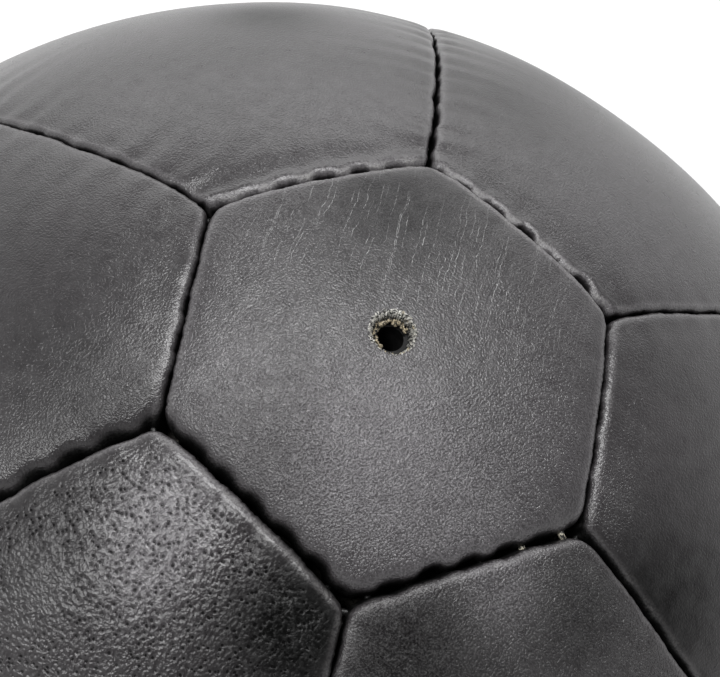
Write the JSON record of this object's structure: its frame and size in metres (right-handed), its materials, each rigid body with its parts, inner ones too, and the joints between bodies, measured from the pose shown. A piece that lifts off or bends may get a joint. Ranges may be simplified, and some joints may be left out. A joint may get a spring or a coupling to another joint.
{
  "type": "medicine ball",
  "caption": "Hand-sewn black leather medicine ball: hexagonal end panels and long side panels over felt and a heavy rubber bladder, with an inflating valve.",
  "frame": {"origin": "middle of the ball", "axes": "+Z out through the valve hole, square to both hexagonal end panels; +X through one long seam"},
  "size_m": [0.25, 0.25, 0.2499],
  "materials": {
    "leather": "semi-matte, fine grain, worn",
    "lining": "plain woven cloth",
    "thread": "waxed",
    "wadding": "dense felt",
    "bladder": "moulded",
    "valve": "moulded, smooth"
  },
  "bodies": {
    "root": {"valve_cap": "leather", "plain_cap": "leather", "gore_1": "leather", "gore_2": "leather", "gore_3": "leather", "gore_4": "leather", "gore_5": "leather", "gore_6": "leather", "valve_cap_lining": "lining", "plain_cap_lining": "lining", "gore_lining_1": "lining", "gore_lining_2": "lining", "gore_lining_3": "lining", "gore_lining_4": "lining", "gore_lining_5": "lining", "gore_lining_6": "lining", "valve_cap_thread": "thread", "plain_cap_thread": "thread", "gore_thread_1": "thread", "gore_thread_2": "thread", "gore_thread_3": "thread", "gore_thread_4": "thread", "gore_thread_5": "thread", "gore_thread_6": "thread", "upper_wadding": "wadding", "lower_wadding": "wadding", "bladder": "bladder", "valve_seat": "valve", "valve_core": "valve"}
  },
  "joints": []
}
